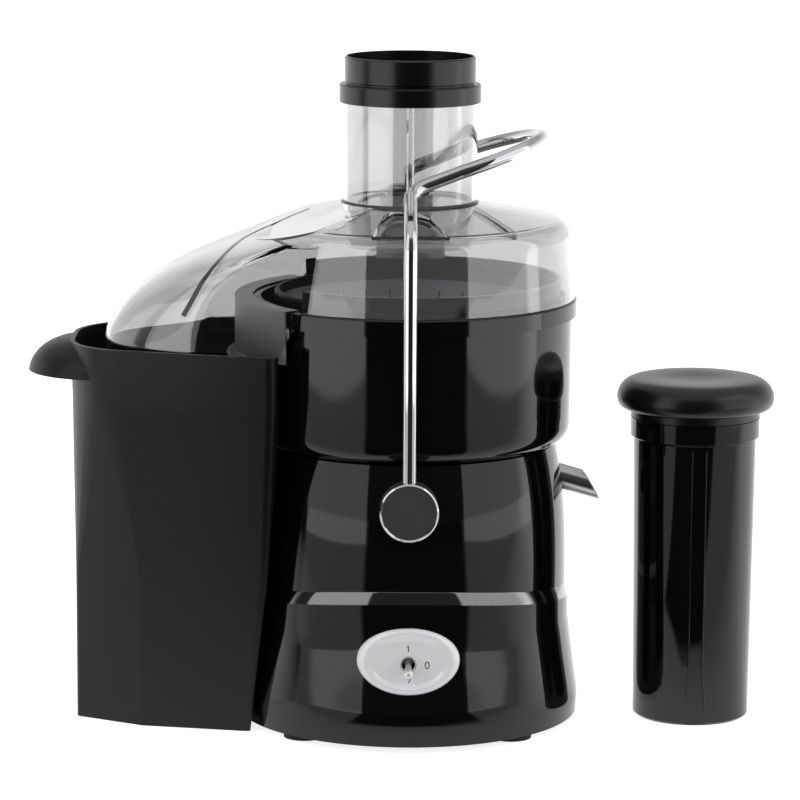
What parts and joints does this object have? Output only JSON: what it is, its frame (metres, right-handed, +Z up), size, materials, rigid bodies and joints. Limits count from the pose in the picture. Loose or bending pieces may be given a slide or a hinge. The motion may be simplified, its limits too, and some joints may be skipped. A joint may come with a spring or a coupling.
{
  "type": "centrifugal juicer",
  "caption": "Centrifugal juicer: motor base with toggle switch, bowl with spout, strainer basket, smoke lid with chute and duct, locking arm, pulp bin and pusher.",
  "frame": {"origin": "on the table under the middle of the whole set: machine, pulp bin and standing pusher", "axes": "+Z up, -Y towards the front with the switch, +X towards the spout and the pusher; the motor axis is vertical at x = 0.0041, y = 0"},
  "size_m": [0.4463, 0.225, 0.3978],
  "materials": {
    "black_abs": "high-gloss black moulded ABS",
    "black_satin": "satin black moulded plastic",
    "black_rubber": "matt black rubber",
    "smoke_clear": "clear smoke-tinted moulded plastic",
    "chrome": "polished chrome plate",
    "dark_brushed": "dark spun metal face",
    "stainless": "stainless steel",
    "silver_paint": "silver painted plastic",
    "zinc_steel": "zinc-plated steel",
    "lamination_steel": "stacked laminations",
    "copper_wire": "enamelled copper",
    "cast_aluminium": "die-cast aluminium",
    "brass": "brass",
    "bearing_steel": "ground steel",
    "nylon": "white nylon"
  },
  "bodies": {
    "machine": {"motor_housing": "black_abs", "base_plate": "black_satin", "foot_pads": "black_rubber", "base_screws": "zinc_steel", "cord_gland": "black_rubber", "switch_bezel": "silver_paint", "switch_body": "black_satin", "switch_collar": "chrome", "motor_stator": "lamination_steel", "field_windings": "copper_wire", "upper_bracket": "cast_aluminium", "lower_bracket": "cast_aluminium", "brush_holders": "brass", "motor_mounts": "black_rubber", "upper_bearing": "bearing_steel", "lower_bearing": "bearing_steel", "shaft_seal": "black_rubber", "juice_bowl": "black_abs", "drain_well": "black_abs", "juice_spout": "stainless", "lid_gasket": "black_rubber", "lid": "smoke_clear", "chute_collar": "black_abs", "front_pivot_bush": "nylon", "rear_pivot_bush": "nylon"},
    "rotor": {"motor_shaft": "bearing_steel", "armature": "lamination_steel", "commutator": "copper_wire", "cooling_fan": "black_satin", "drive_coupling": "black_satin", "basket_frame": "black_satin", "filter_mesh": "stainless", "grater_disc": "stainless"},
    "toggle": {"toggle_lever": "chrome"},
    "arm": {"locking_arm": "chrome", "front_pivot_cap": "dark_brushed", "rear_pivot_cap": "dark_brushed", "front_cap_ring": "chrome", "rear_cap_ring": "chrome", "front_pivot_pin": "zinc_steel", "rear_pivot_pin": "zinc_steel"},
    "bin": {"pulp_bin": "black_satin"},
    "pusher": {"pusher_body": "black_abs", "pusher_cap": "black_abs"}
  },
  "joints": [
    {"name": "rotor_spin", "type": "hinge", "parent": "machine", "child": "rotor", "pos_m": [0.00407, 0, 0.1], "axis": [0, 0, 1], "continuous": true},
    {"name": "arm_swing", "type": "hinge", "parent": "machine", "child": "arm", "pos_m": [0.00407, 0, 0.145], "axis": [0, 1, 0], "range_deg": [0, 45]},
    {"name": "toggle_throw", "type": "hinge", "parent": "machine", "child": "toggle", "pos_m": [0.00407, -0.09183, 0.053], "axis": [-1, 0, 0], "range_deg": [0, 27]},
    {"name": "bin_slide", "type": "slide", "parent": "machine", "child": "bin", "axis": [-1, 0, 0], "range_m": [0, 0.12]},
    {"name": "pusher_slide", "type": "slide", "parent": "machine", "child": "pusher", "axis": [1, 0, 0], "range_m": [0, 0.1]}
  ]
}
